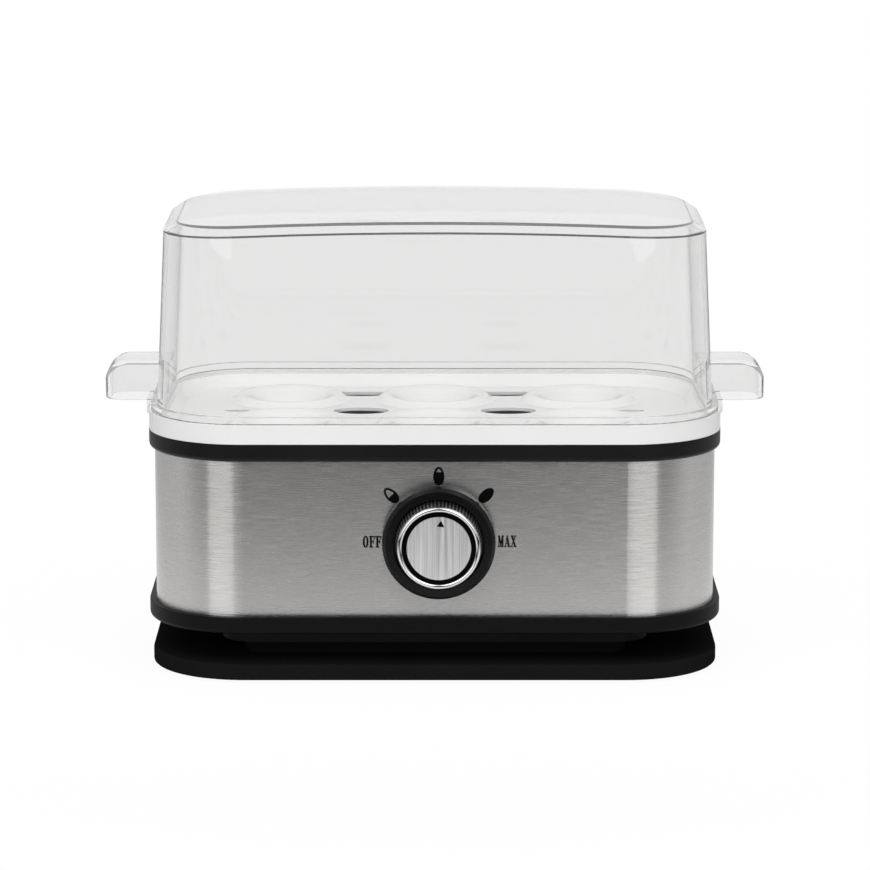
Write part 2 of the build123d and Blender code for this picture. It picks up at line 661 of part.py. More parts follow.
def make_knob_cap():
    """Brushed aluminium disc let into the knob's face."""
    return along_y(KNOB_X, KNOB_Z, Circle(CAP_RADIUS), KNOB_FACE - CAP_PROUD, KNOB_FACE + CAP_SHEET)


def make_knob_clip():
    """Split spring ring that tightens the hub on the shaft."""
    inner = HUB_RADIUS + SEAT_GAP
    band = Circle(inner + CLIP_SHEET) - Circle(inner)
    band -= Pos(0, -HUB_RADIUS) * Rectangle(CLIP_GAP, 2 * HUB_RADIUS)
    middle = (HUB_FRONT + HUB_BACK) / 2
    return along_y(KNOB_X, KNOB_Z, band, middle - CLIP_LENGTH / 2, middle + CLIP_LENGTH / 2)


def make_buzzer():
    """Round buzzer on the belly floor."""
    high = BELLY_FLOOR + BUZZER_HEIGHT
    body = rod(BUZZER_X, BUZZER_Y, BUZZER_RADIUS, BELLY_FLOOR, high)
    return body - rod(BUZZER_X, BUZZER_Y, BUZZER_HOLE, high - BUZZER_HOLE_DEPTH, high)


def terminal_places():
    """X of each way of the terminal block."""
    middle = (TERMINAL_WAYS - 1) / 2
    return [TERMINAL_X + TERMINAL_PITCH * (way - middle) for way in range(TERMINAL_WAYS)]


def make_terminal_block():
    """Mains terminal block on the belly floor, with a well over each screw."""
    width = TERMINAL_PITCH * TERMINAL_WAYS
    middle = BELLY_FLOOR + TERMINAL_HEIGHT / 2
    body = Pos(TERMINAL_X, TERMINAL_Y, middle) * Box(width, TERMINAL_DEPTH, TERMINAL_HEIGHT)
    high = BELLY_FLOOR + TERMINAL_HEIGHT
    for x in terminal_places():
        body -= rod(x, TERMINAL_Y, TERMINAL_SCREW_RADIUS + SLIP, high - TERMINAL_SCREW_LENGTH, high)
    return body


def make_terminal_screws():
    """Brass screws down in the terminal block's wells."""
    low = BELLY_FLOOR + TERMINAL_HEIGHT - TERMINAL_SCREW_LENGTH
    high = low + TERMINAL_SCREW_LENGTH - TERMINAL_SCREW_SINK
    screws = []
    for x in terminal_places():
        screw = rod(x, TERMINAL_Y, TERMINAL_SCREW_RADIUS, low, high)
        slot = Box(2 * TERMINAL_SCREW_RADIUS, RECESS_WIDTH, RECESS_DEPTH)
        screws.append(screw - Pos(x, TERMINAL_Y, high - RECESS_DEPTH / 2) * slot)
    return screws


def make_cord_gland():
    """Empty cord gland in the back of the sleeve."""
    inside = HALF_DEPTH - GLAND_LENGTH
    outside = HALF_DEPTH + GLAND_FLANGE
    gland = along_y(GLAND_X, GLAND_Z, Circle(GLAND_FLANGE_RADIUS), HALF_DEPTH, outside)
    gland = fillet(gland.edges().sort_by(Axis.Y)[-1], GLAND_FLANGE / 2)
    gland += along_y(GLAND_X, GLAND_Z, Circle(GLAND_RADIUS), inside, HALF_DEPTH)
    return gland - along_y(GLAND_X, GLAND_Z, Circle(GLAND_BORE), inside, outside)


def make_gland_nut():
    """Nut that holds the gland from inside."""
    back = HALF_DEPTH - SLEEVE_SHEET
    front = back - GLAND_NUT_HEIGHT
    hexagon = RegularPolygon(GLAND_NUT_FLATS / 2, 6, major_radius=False)
    nut = along_y(GLAND_X, GLAND_Z, hexagon, front, back)
    return nut - along_y(GLAND_X, GLAND_Z, Circle(GLAND_RADIUS + SEAT_GAP), front, back)


def make_live_wire():
    """Lead from the terminal block to the regulator."""
    left = terminal_places()[0]
    tab = KNOB_X - TAB_X
    return wire(
        (left, TERMINAL_FRONT - WIRE_GAP, TERMINAL_WIRE_Z),
        (left, TERMINAL_FRONT - LIVE_LEAD, TERMINAL_WIRE_Z),
        ((left + tab) / 2, (TERMINAL_FRONT + TAB_END) / 2, (TERMINAL_WIRE_Z + TAB_Z) / 2),
        (tab, TAB_END + TAB_LEAD, TAB_Z),
        (tab, TAB_END + WIRE_GAP, TAB_Z),
        radii=WIRE_BEND,
    )


def make_switched_wire():
    """Lead from the regulator to one end of the heating element."""
    tab = KNOB_X + TAB_X
    return wire(
        (tab, TAB_END + WIRE_GAP, TAB_Z),
        (tab, TAB_END + TAB_LEAD, TAB_Z),
        (ELEMENT_LEAD_X, WIRE_BACK_Y - WIRE_BACK_RUN, TAB_Z + SWITCHED_RISE),
        (ELEMENT_LEAD_X, WIRE_BACK_Y, ELEMENT_Z - WIRE_RISE),
        (ELEMENT_LEAD_X, WIRE_BACK_Y, ELEMENT_Z),
        (ELEMENT_LEAD_X, PIN_END + WIRE_GAP, ELEMENT_Z),
        radii=WIRE_TURN,
    )


def make_neutral_wire():
    """Lead from the terminal block to the thermal fuse."""
    right = terminal_places()[-1]
    lead = FUSE_X + FUSE_LENGTH / 2 + FUSE_LEAD_LENGTH
    return wire(
        (lead + WIRE_GAP, FUSE_Y, FUSE_Z),
        (lead + NEUTRAL_RUN, FUSE_Y, FUSE_Z),
        (lead + NEUTRAL_RUN + NEUTRAL_SLANT, FUSE_Y, FUSE_Z - NEUTRAL_STEP),
        (right + NEUTRAL_OUT, FUSE_Y + NEUTRAL_BACK, FUSE_Z - NEUTRAL_DROP),
        (right + NEUTRAL_OUT, TERMINAL_FRONT - NEUTRAL_LEAD, TERMINAL_WIRE_Z + NEUTRAL_RISE),
        (right, TERMINAL_FRONT - NEUTRAL_LEAD, TERMINAL_WIRE_Z),
        (right, TERMINAL_FRONT - WIRE_GAP, TERMINAL_WIRE_Z),
        radii=WIRE_TURN,
    )


def make_fuse_wire():
    """Lead from the thermal fuse to the other end of the heating element."""
    lead = FUSE_X - FUSE_LENGTH / 2 - FUSE_LEAD_LENGTH
    return wire(
        (lead - WIRE_GAP, FUSE_Y, FUSE_Z),
        (lead - FUSE_WIRE_RUN, FUSE_Y, FUSE_Z),
        (lead - FUSE_WIRE_RUN, FUSE_Y + FUSE_WIRE_BACK, FUSE_Z - FUSE_WIRE_STEP),
        (-ELEMENT_LEAD_X, WIRE_BACK_Y - WIRE_BACK_RUN, FUSE_Z - FUSE_WIRE_DROP),
        (-ELEMENT_LEAD_X, WIRE_BACK_Y, ELEMENT_Z - WIRE_RISE),
        (-ELEMENT_LEAD_X, WIRE_BACK_Y, ELEMENT_Z),
        (-ELEMENT_LEAD_X, PIN_END + WIRE_GAP, ELEMENT_Z),
        radii=WIRE_TURN,
    )


def make_earth_wire():
    """Lead from the terminal block to a strap, which earths the dish."""
    middle = TERMINAL_X
    strap_under = STRAP_TOP - STRAP_SHEET
    return wire(
        (middle, TERMINAL_FRONT - WIRE_GAP, TERMINAL_WIRE_Z),
        (middle, TERMINAL_FRONT - EARTH_LEAD, TERMINAL_WIRE_Z),
        ((middle + STRAP_X) / 2, 0, (TERMINAL_WIRE_Z + strap_under) / 2),
        (STRAP_X, 0, strap_under - EARTH_RISE),
        (STRAP_X, 0, strap_under - WIRE_GAP),
        radii=WIRE_TURN,
    )


def egg_places():
    """Centre of each egg seat."""
    columns = [EGG_PITCH_X * (i - (EGG_COLUMNS - 1) / 2) for i in range(EGG_COLUMNS)]
    rows = [EGG_PITCH_Y * (i - (EGG_ROWS - 1) / 2) for i in range(EGG_ROWS)]
    return [(x, y) for x in columns for y in rows]


def make_egg_seat():
    """One raised seat: a rounded crest round a shallow bowl with a hole at its foot."""
    foot = (SEAT_RADIUS, TRAY_FLOOR)
    crest = (CREST_RADIUS, CREST_Z)
    hole = (CUP_RADIUS, CUP_Z)
    slopes = [(-1, BOWL_START), (-1, 0), (-1, -BOWL_END)]
    top = Spline(foot, crest, hole, tangents=slopes)
    under = Pos(0, -TRAY_SKIN) * top
    ends = [Line(top @ 0, under @ 0), Line(top @ 1, under @ 1)]
    profile = make_face(top.edges() + under.edges() + [edge for end in ends for edge in end.edges()])
    return revolve(Plane.XZ * profile, Axis.Z)


def make_tray_lug():
    """Small lifting lug on the tray's right end, sloped underneath."""
    root = HALF_WIDTH + TRAY_GROW
    points = [
        (root - TRAY_WALL / 2, TRAY_RIM - LUG_HEIGHT - LUG_REACH),
        (root, TRAY_RIM - LUG_HEIGHT - LUG_REACH),
        (root + LUG_REACH, TRAY_RIM - LUG_HEIGHT),
        (root + LUG_REACH, TRAY_RIM),
        (root - TRAY_WALL / 2, TRAY_RIM),
    ]
    profile = make_face(Polyline(*points, close=True).edges())
    return extrude(Plane.XZ * profile, LUG_WIDTH / 2, both=True)


def make_egg_tray():
    """White tray: a rim that seats the lid, a sunk floor, six egg seats and steam holes between them."""
    tray = slab(TRAY_GROW, COLLAR_TOP, TRAY_RIM)
    tray -= slab(LID_WALL_GROW, LEDGE_Z, TRAY_RIM)
    slope = math.degrees(math.atan2(TRAY_SLOPE, LEDGE_Z - TRAY_FLOOR))
    tray -= Pos(0, 0, TRAY_FLOOR) * extrude(plan(FLOOR_GROW), LEDGE_Z - TRAY_FLOOR, taper=-slope)
    hollow = slab(TRAY_GROW - TRAY_WALL, COLLAR_TOP, LEDGE_Z - TRAY_WALL)
    tray -= hollow - slab(LEDGE_GROW + TRAY_WALL, COLLAR_TOP, LEDGE_Z - TRAY_WALL)
    spigot = RABBET_GROW - LIFT_CLEARANCE
    tray += slab(spigot, SPIGOT_LOW, TRAY_FLOOR) - slab(spigot - TRAY_WALL, SPIGOT_LOW, TRAY_FLOOR)
    between = [EGG_PITCH_X * (i - (EGG_COLUMNS - 2) / 2) for i in range(EGG_COLUMNS - 1)]
    steam_hole = extrude(Ellipse(STEAM_HOLE_WIDTH / 2, STEAM_HOLE_DEPTH / 2), TRAY_SKIN)
    edge_half = Pos(0, -EDGE_HOLE_DEPTH / 2) * Rectangle(EDGE_HOLE_WIDTH, EDGE_HOLE_DEPTH)
    edge_hole = Ellipse(EDGE_HOLE_WIDTH / 2, EDGE_HOLE_DEPTH) & edge_half
    end_hole = extrude(Ellipse(END_HOLE_WIDTH / 2, END_HOLE_DEPTH / 2), TRAY_SKIN)
    for x in between:
        tray -= Pos(x, 0, COLLAR_TOP) * steam_hole
    for x in (-END_HOLE_X, END_HOLE_X):
        tray -= Pos(x, 0, COLLAR_TOP) * end_hole
    seat = make_egg_seat()
    for x, y in egg_places():
        tray -= rod(x, y, SEAT_RADIUS - TRAY_WALL / 2, COLLAR_TOP, TRAY_FLOOR)
    for x, y in egg_places():
        tray += Pos(x, y, 0) * seat
    for x in between:
        for place in (Pos(x, EDGE_HOLE_Y), Pos(x, -EDGE_HOLE_Y) * Rot(0, 0, 180)):
            tray -= Pos(0, 0, COLLAR_TOP) * place * extrude(edge_hole, CREST_Z - COLLAR_TOP)
    lug = make_tray_lug()
    return tray + lug + mirror(lug, Plane.YZ)


def crowned(top, reach):
    """Everything below a surface that falls away from the middle towards both ends."""
    edge = HALF_WIDTH + LID_WALL_GROW
    radius = (edge**2 + LID_CROWN**2) / (2 * LID_CROWN)
    drop = radius - math.sqrt(radius**2 - reach**2)
    arc = ThreePointArc((-reach, top - drop), (0, top), (reach, top - drop))
    sides = Polyline((reach, top - drop), (reach, 0), (-reach, 0), (-reach, top - drop))
    profile = make_face(arc.edges() + sides.edges())
    return extrude(Plane.XZ * profile, SLEEVE_DEPTH, both=True)


def lid_block(grow, low, top, share):
    """A drafted block with a crowned top and a share of the broad chamfer round it."""
    walls = Pos(0, 0, low) * extrude(plan(grow), top + LID_CROWN - low, taper=LID_DRAFT)
    body = walls & crowned(top, HALF_WIDTH)
    face = body.faces().sort_by(Axis.Z)[-1]
    inset = share * LID_CHAMFER_INSET
    drop = share * LID_CHAMFER_DROP
    return chamfer(face.edges(), length=inset, length2=drop, reference=face)


def hood(root, inset):
    """A hood on the lid's right end, rounded in side view and in plan, drawn in all round by an inset."""
    top = HANDLE_TOP - inset
    tip = HANDLE_TIP - inset
    corner = HANDLE_CORNER - inset
    nose = HANDLE_NOSE - inset
    half_width = HANDLE_WIDTH / 2 - inset
    outline = [
        Line((root, TRAY_RIM), (tip, TRAY_RIM)),
        Line((tip, TRAY_RIM), (tip, top - corner)),
        RadiusArc((tip, top - corner), (tip - corner, top), -corner),
        Line((tip - corner, top), (root, top)),
        Line((root, top), (root, TRAY_RIM)),
    ]
    profile = make_face([edge for curve in outline for edge in curve.edges()])
    side = extrude(Plane.XZ * profile, half_width, both=True)
    length = tip - root + nose
    seen_from_above = RectangleRounded(length, 2 * half_width, nose)
    return side & Pos(tip - length / 2, 0, TRAY_RIM) * extrude(seen_from_above, top - TRAY_RIM)


def make_lid():
    """Clear lid with a flange that rests on the tray and a hollow hood at each end for the fingers."""
    lid = lid_block(LID_WALL_GROW, TRAY_RIM, LID_TOP, 1)
    shell = hood(HANDLE_ROOT - LID_WALL, 0) - hood(HANDLE_ROOT, LID_WALL)
    lid += shell
    lid += mirror(shell, Plane.YZ)
    lid += slab(LID_FLANGE_GROW, TRAY_RIM, TRAY_RIM + LID_FLANGE)
    spigot = LID_WALL_GROW - LIFT_CLEARANCE
    lid += slab(spigot, TRAY_RIM - LID_SPIGOT, TRAY_RIM)
    inside = LID_WALL_GROW - LID_WALL
    lid -= slab(inside, TRAY_RIM - LID_SPIGOT, TRAY_RIM)
    return lid - lid_block(inside, TRAY_RIM, LID_TOP - LID_WALL, INNER_CHAMFER)


NODES = {
    "foot_plate": make_foot_plate,
    "rubber_feet": make_rubber_feet,
    "foot_screws": make_foot_screws,
    "bottom_housing": make_bottom_housing,
    "housing_screws": make_housing_screws,
    "steel_sleeve": make_steel_sleeve,
    "top_collar": make_top_collar,
    "plate_seal": make_plate_seal,
    "heating_plate": make_heating_plate,
    "heat_spreader": make_heat_spreader,
    "heating_element": make_heating_element,
    "plate_straps": make_plate_straps,
    "strap_screws": make_strap_screws,
    "thermostat": make_thermostat,
    "thermal_fuse": make_thermal_fuse,
    "regulator_body": make_regulator_body,
    "regulator_nut": make_regulator_nut,
    "regulator_shaft": make_regulator_shaft,
    "knob_bezel": make_knob_bezel,
    "knob_body": make_knob_body,
    "knob_ring": make_knob_ring,
    "knob_cap": make_knob_cap,
    "knob_clip": make_knob_clip,
    "buzzer": make_buzzer,
    "terminal_block": make_terminal_block,
    "terminal_screws": make_terminal_screws,
    "cord_gland": make_cord_gland,
    "gland_nut": make_gland_nut,
    "live_wire": make_live_wire,
    "switched_wire": make_switched_wire,
    "neutral_wire": make_neutral_wire,
    "fuse_wire": make_fuse_wire,
    "earth_wire": make_earth_wire,
    "egg_tray": make_egg_tray,
    "lid": make_lid,
}


def main():
    """Builds every node, moves it to the centred frame and writes it out."""
    os.makedirs("parts", exist_ok=True)
    for name, make in NODES.items():
        made = make()
        solids = made if isinstance(made, list) else [made]
        moved = [Pos(0, CENTRE_SHIFT, 0) * solid for solid in solids]
        node = moved[0] if len(moved) == 1 else Compound(children=moved)
        export_step(node, f"parts/{name}.step")


main()
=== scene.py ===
import json
import math

import bpy
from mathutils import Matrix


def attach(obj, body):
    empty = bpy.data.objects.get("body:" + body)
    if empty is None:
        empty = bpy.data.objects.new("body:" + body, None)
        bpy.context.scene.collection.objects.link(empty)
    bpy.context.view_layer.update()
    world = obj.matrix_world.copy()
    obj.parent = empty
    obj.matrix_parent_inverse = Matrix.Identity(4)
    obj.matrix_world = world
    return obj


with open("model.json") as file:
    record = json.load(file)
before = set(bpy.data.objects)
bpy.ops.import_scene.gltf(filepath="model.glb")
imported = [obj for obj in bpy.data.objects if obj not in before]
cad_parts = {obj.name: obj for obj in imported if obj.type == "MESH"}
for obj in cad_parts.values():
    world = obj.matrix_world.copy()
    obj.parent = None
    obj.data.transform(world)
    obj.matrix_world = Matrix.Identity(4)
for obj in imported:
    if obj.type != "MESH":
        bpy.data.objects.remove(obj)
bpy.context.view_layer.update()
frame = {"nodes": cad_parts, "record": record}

MM = 0.001
NODES = frame["nodes"]

# Places on the cooker, in metres
SHELL_BACK_SHIFT = 4.75 * MM
STEEL_FRONT = -59.5 * MM + SHELL_BACK_SHIFT
KNOB_X = 1.5 * MM
KNOB_Z = 53.5 * MM
CAP_FRONT = -71.2 * MM + SHELL_BACK_SHIFT
BEAD_BACK = -69.9 * MM + SHELL_BACK_SHIFT

# Camera, as fitted to the photograph's edges
CAMERA_PLACE = (0.1 * MM, -1.52575, 0.379)
CAMERA_TILT = math.radians(90 - 10.98)
CAMERA_LENS = 169.03
SENSOR = 36.0
FARTHEST_SEEN = 50


# Shading

NOISE_SPAN = (0.3, 0.7)  # nearly all of the noise lies between these


def new_finish(name):
    """An empty finish: its material, its node tree and its main shader."""
    material = bpy.data.materials.new(name)
    material.use_nodes = True
    tree = material.node_tree
    return material, tree, tree.nodes["Principled BSDF"]


def add(tree, kind, **values):
    """A node with the values of its named sockets."""
    made = tree.nodes.new(kind)
    for socket, value in values.items():
        made.inputs[socket.replace("_", " ")].default_value = value
    return made


def grey(level):
    """A plain grey, as a socket or a ramp takes it."""
    return (level, level, level, 1)


def maths(tree, operation, *values):
    """The result of a sum over node outputs and plain numbers."""
    made = add(tree, "ShaderNodeMath")
    made.operation = operation
    for socket, value in zip(made.inputs, values):
        if isinstance(value, (int, float)):
            socket.default_value = value
        else:
            tree.links.new(value, socket)
    return made.outputs["Value"]


def scaled(tree, source, low, high, to_low, to_high):
    """A value moved from one range to another, and held at its ends."""
    made = add(tree, "ShaderNodeMapRange", From_Min=low, From_Max=high, To_Min=to_low, To_Max=to_high)
    tree.links.new(source, made.inputs["Value"])
    return made.outputs["Result"]


def mixed(tree, share, first, second):
    """Two shaders mixed, the second by its share."""
    made = add(tree, "ShaderNodeMixShader")
    tree.links.new(share, made.inputs["Fac"])
    tree.links.new(first, made.inputs[1])
    tree.links.new(second, made.inputs[2])
    return made.outputs["Shader"]


def split_axes(tree, source):
    """The X, Y and Z of a vector, by name."""
    made = add(tree, "ShaderNodeSeparateXYZ")
    tree.links.new(source, made.inputs["Vector"])
    return made.outputs


def seen_directly(tree):
    """One for what the camera sees, also through clear plastic, and nought for other light."""
    rays = add(tree, "ShaderNodeLightPath").outputs
    return maths(tree, "MAXIMUM", rays["Is Camera Ray"], rays["Is Transmission Ray"])


def grain(tree, stretch, detail=3.0):
    """Noise over the piece's own coordinates, with so many grains to the metre each way."""
    coordinates = add(tree, "ShaderNodeTexCoord")
    mapping = add(tree, "ShaderNodeMapping", Scale=stretch)
    noise = add(tree, "ShaderNodeTexNoise", Scale=1.0, Detail=detail)
    tree.links.new(coordinates.outputs["Object"], mapping.inputs["Vector"])
    tree.links.new(mapping.outputs["Vector"], noise.inputs["Vector"])
    return noise.outputs["Fac"]


def spread(tree, source, low, high):
    """A value that swings between two levels with the noise."""
    return scaled(tree, source, *NOISE_SPAN, low, high)


def tint(tree, source, dark, light):
    """A colour that swings between two shades with the noise."""
    ramp = add(tree, "ShaderNodeValToRGB")
    for stop, where, colour in zip(ramp.color_ramp.elements, NOISE_SPAN, (dark, light)):
        stop.position = where
        stop.color = (*colour, 1)
    tree.links.new(source, ramp.inputs["Fac"])
    return ramp.outputs["Color"]


def relief(tree, shader, source, depth, edge=0.0):
    """Fine relief from the noise, over edges that are rounded a little."""
    bump = add(tree, "ShaderNodeBump", Strength=1.0, Distance=depth)
    tree.links.new(source, bump.inputs["Height"])
    if edge:
        rounded = add(tree, "ShaderNodeBevel", Radius=edge)
        tree.links.new(rounded.outputs["Normal"], bump.inputs["Normal"])
    tree.links.new(bump.outputs["Normal"], shader.inputs["Normal"])


def shades(colour, swing):
    """A darker and a lighter shade of a colour."""
    return [c * (1 - swing) for c in colour], [c * (1 + swing) for c in colour]


CLOUDS = (30, 30, 30)
MOULDED_UNEVENNESS = 0.1
BRUSHED_UNEVENNESS = 0.15
QUARTER_TURN = 0.25


def moulded(name, colour, roughness, grains=1500, depth=0.01 * MM, swing=0.05, edge=0.25 * MM, shine=0.5):
    """Moulded plastic or rubber with a fine skin."""
    material, tree, shader = new_finish(name)
    shader.inputs["Specular IOR Level"].default_value = shine
    skin = grain(tree, (grains, grains, grains))
    cloud = grain(tree, CLOUDS)
    low, high = roughness * (1 - MOULDED_UNEVENNESS), roughness * (1 + MOULDED_UNEVENNESS)
    tree.links.new(tint(tree, cloud, *shades(colour, swing)), shader.inputs["Base Color"])
    tree.links.new(spread(tree, cloud, low, high), shader.inputs["Roughness"])
    relief(tree, shader, skin, depth, edge)
    return material


def brushed(name, colour, roughness, stretch, swing=0.1, depth=0.002 * MM, anisotropy=0.0, edge=0.0):
    """Brushed or rolled metal, with its grain drawn out along one way."""
    material, tree, shader = new_finish(name)
    lines = grain(tree, stretch, detail=5.0)
    low, high = roughness * (1 - BRUSHED_UNEVENNESS), roughness * (1 + BRUSHED_UNEVENNESS)
    shader.inputs["Metallic"].default_value = 1.0
    shader.inputs["Anisotropic"].default_value = anisotropy
    tree.links.new(tint(tree, lines, *shades(colour, swing)), shader.inputs["Base Color"])
    tree.links.new(spread(tree, lines, low, high), shader.inputs["Roughness"])
    relief(tree, shader, lines, depth, edge)
    if anisotropy:
        shader.inputs["Anisotropic Rotation"].default_value = QUARTER_TURN
        round_body = add(tree, "ShaderNodeTangent")
        round_body.direction_type = "RADIAL"
        round_body.axis = "Z"
        tree.links.new(round_body.outputs["Tangent"], shader.inputs["Tangent"])
    return material


KNURL_RIBS = 72
RIB_WAVE = (-0.6, 1.0)
RIB_PAINTED_SHADE = (0.1, 1.0)
KNURL_START = 0.1 * MM
SATIN_START = 0.3 * MM


def turned_chrome(name, colour, bead, knurl):
    """Chrome that is bright on the knob's front bead, and satin on the knurl behind it, where painted shade
    darkens the roots between the ribs.
    """
    material, tree, shader = new_finish(name)
    shader.inputs["Metallic"].default_value = 1.0
    coordinates = add(tree, "ShaderNodeTexCoord")
    about_axis = add(tree, "ShaderNodeMapping", Location=(-KNOB_X, 0, -KNOB_Z))
    tree.links.new(coordinates.outputs["Object"], about_axis.inputs["Vector"])
    axes = split_axes(tree, about_axis.outputs["Vector"])
    # Painted shade: the chrome's colour is darkened between the knurl's ribs and left full on the bead.
    turns = maths(tree, "MULTIPLY", maths(tree, "ARCTAN2", axes["Z"], axes["X"]), KNURL_RIBS)
    painted_rib_shade = scaled(tree, maths(tree, "COSINE", turns), *RIB_WAVE, *RIB_PAINTED_SHADE)
    on_bead = scaled(tree, axes["Y"], BEAD_BACK - KNURL_START, BEAD_BACK, 1.0, 0.0)
    satin = scaled(tree, axes["Y"], BEAD_BACK - SATIN_START, BEAD_BACK, bead, knurl)
    shade = add(tree, "ShaderNodeValToRGB")
    shade.color_ramp.elements[1].color = (*colour, 1)
    tree.links.new(maths(tree, "MAXIMUM", painted_rib_shade, on_bead), shade.inputs["Fac"])
    tree.links.new(shade.outputs["Color"], shader.inputs["Base Color"])
    tree.links.new(satin, shader.inputs["Roughness"])
    return material


HAZE_GRAINS = (60, 60, 60)
HAZE_ROUGHNESS = 0.02
HAZE_DEPTH = 0.004 * MM
LAMP_SHARE = 0.985
LEAK_SHARE = 0.65
MOST_MIRRORINGS = 1.5


def clear(name, colour, ior):
    """Clear plastic that lets the lamps through, and lets light leak out that is caught between its faces."""
    material, tree, shader = new_finish(name)
    shader.inputs["Base Color"].default_value = (*colour, 1)
    shader.inputs["Transmission Weight"].default_value = 1.0
    shader.inputs["IOR"].default_value = ior
    haze = grain(tree, HAZE_GRAINS)
    tree.links.new(spread(tree, haze, 0.0, HAZE_ROUGHNESS), shader.inputs["Roughness"])
    relief(tree, shader, haze, HAZE_DEPTH)
    rays = add(tree, "ShaderNodeLightPath").outputs
    caught = maths(tree, "GREATER_THAN", rays["Glossy Depth"], MOST_MIRRORINGS)
    lamp_light = maths(tree, "MAXIMUM", rays["Is Shadow Ray"], rays["Is Diffuse Ray"])
    leak = add(tree, "ShaderNodeBsdfTransparent", Color=grey(LEAK_SHARE))
    see_through = add(tree, "ShaderNodeBsdfTransparent", Color=grey(LAMP_SHARE))
    looked_at = mixed(tree, caught, shader.outputs["BSDF"], leak.outputs["BSDF"])
    surface = mixed(tree, lamp_light, looked_at, see_through.outputs["BSDF"])
    tree.links.new(surface, tree.nodes["Material Output"].inputs["Surface"])
    return material


ALL_WAYS = (900, 900, 900)
FINISHES = {
    "clear_plastic": clear("clear_plastic", (0.9, 0.9, 0.898), 1.4),
    "white_plastic": moulded("white_plastic", (0.87, 0.87, 0.865), 0.14, depth=0.004 * MM, swing=0.01),
    "black_plastic": moulded("black_plastic", (0.0012, 0.0012, 0.0014), 0.4, shine=0.18),
    "brushed_steel": brushed(
        "brushed_steel", (0.63, 0.62, 0.608), 0.26, (90, 90, 3600),
        swing=0.05, depth=0.0006 * MM, anisotropy=0.95,
    ),
    # The dish is dark grey so that the holes in the tray read dark: painted shade under the tray.
    "dish_steel": brushed("dish_steel", (0.2, 0.2, 0.2), 0.4, (60, 2000, 60)),
    "chrome": turned_chrome("chrome", (0.8, 0.8, 0.8), bead=0.07, knurl=0.36),
    "cap_aluminium": brushed("cap_aluminium", (0.86, 0.86, 0.86), 0.38, (2400, 40, 25), swing=0.2),
    "plain_aluminium": brushed("plain_aluminium", (0.7, 0.7, 0.7), 0.35, (40, 1500, 40)),
    "black_rubber": moulded("black_rubber", (0.02, 0.02, 0.02), 0.75, depth=0.03 * MM),
    "silicone": moulded("silicone", (0.5, 0.12, 0.06), 0.6),
    "screw_steel": brushed("screw_steel", (0.5, 0.5, 0.5), 0.3, ALL_WAYS, edge=0.1 * MM),
    "element_steel": brushed("element_steel", (0.25, 0.25, 0.24), 0.45, (500, 500, 500)),
    "brass": brushed("brass", (0.65, 0.45, 0.17), 0.3, ALL_WAYS, edge=0.1 * MM),
    "nylon": moulded("nylon", (0.75, 0.75, 0.7), 0.5),
    "phenolic": moulded("phenolic", (0.07, 0.045, 0.03), 0.45),
    "wire_brown": moulded("wire_brown", (0.15, 0.055, 0.02), 0.5),
    "wire_blue": moulded("wire_blue", (0.02, 0.1, 0.4), 0.5),
    "wire_green": moulded("wire_green", (0.06, 0.3, 0.05), 0.5),
}
# Black mouldings that differ in gloss from the others
OWN_FINISHES = {
    "top_collar": moulded("collar_black", (0.006, 0.006, 0.0062), 0.4, shine=0.18),
    "knob_bezel": moulded("bezel_black", (0.0012, 0.0012, 0.0014), 0.28, shine=0.3),
    "foot_plate": moulded("foot_black", (0.009, 0.009, 0.0092), 0.7, shine=0.0),
    "bottom_housing": moulded("trim_black", (0.001, 0.001, 0.0011), 0.5, shine=0.12),
    "knob_body": moulded("knob_black", (0.001, 0.001, 0.001), 0.3, shine=0.05),
}
INK = moulded("black_ink", (0.002, 0.002, 0.002), 0.6, edge=0.0, shine=0.03)

for part in frame["record"]["subparts"]:
    for slot in NODES[part["node"]].material_slots:
        slot.material = OWN_FINISHES.get(part["node"], FINISHES[part["material_slot"]])


# Modelling

FACING_FRONT = math.pi / 2


def deselect():
    """Nothing is selected before the next operator."""
    bpy.ops.object.select_all(action="DESELECT")


def place(obj, where, turn=0.0):
    """Stands a flat piece up to face the front, turned about Y, and keeps its place in its own mesh."""
    deselect()
    obj.select_set(True)
    bpy.context.view_layer.objects.active = obj
    obj.location = where
    obj.rotation_euler = (FACING_FRONT, turn, 0)
    bpy.ops.object.transform_apply(location=True, rotation=True, scale=True)


def about_knob(radius, turn, front):
    """A point at a radius from the knob's axis, turned clockwise from the top as seen from the front."""
    return (KNOB_X + radius * math.sin(turn), front, KNOB_Z + radius * math.cos(turn))


def thicken(obj, thickness):
    """Gives a flat outline its thickness, upwards."""
    bpy.context.view_layer.objects.active = obj
    bpy.ops.object.modifier_add(type="SOLIDIFY")
    sheet = obj.modifiers[-1]
    sheet.thickness = thickness
    sheet.offset = 1.0
    bpy.ops.object.modifier_apply(modifier=sheet.name)


def hand_over(obj, name, body, material):
    """Names a finished piece, gives it its finish and lets it ride on its body."""
    obj.name = name
    obj.data.name = name
    obj.data.materials.clear()
    obj.data.materials.append(material)
    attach(obj, body)


# Egg marks printed on the steel

PRINT = 0.05 * MM
MARK_WIDTH = 4.1 * MM
MARK_HEIGHT = 7.0 * MM
MARK_STROKE = 0.8 * MM
MARK_TAPER = 0.09
MARK_RING = 24.7 * MM
MARK_CORNERS = 48


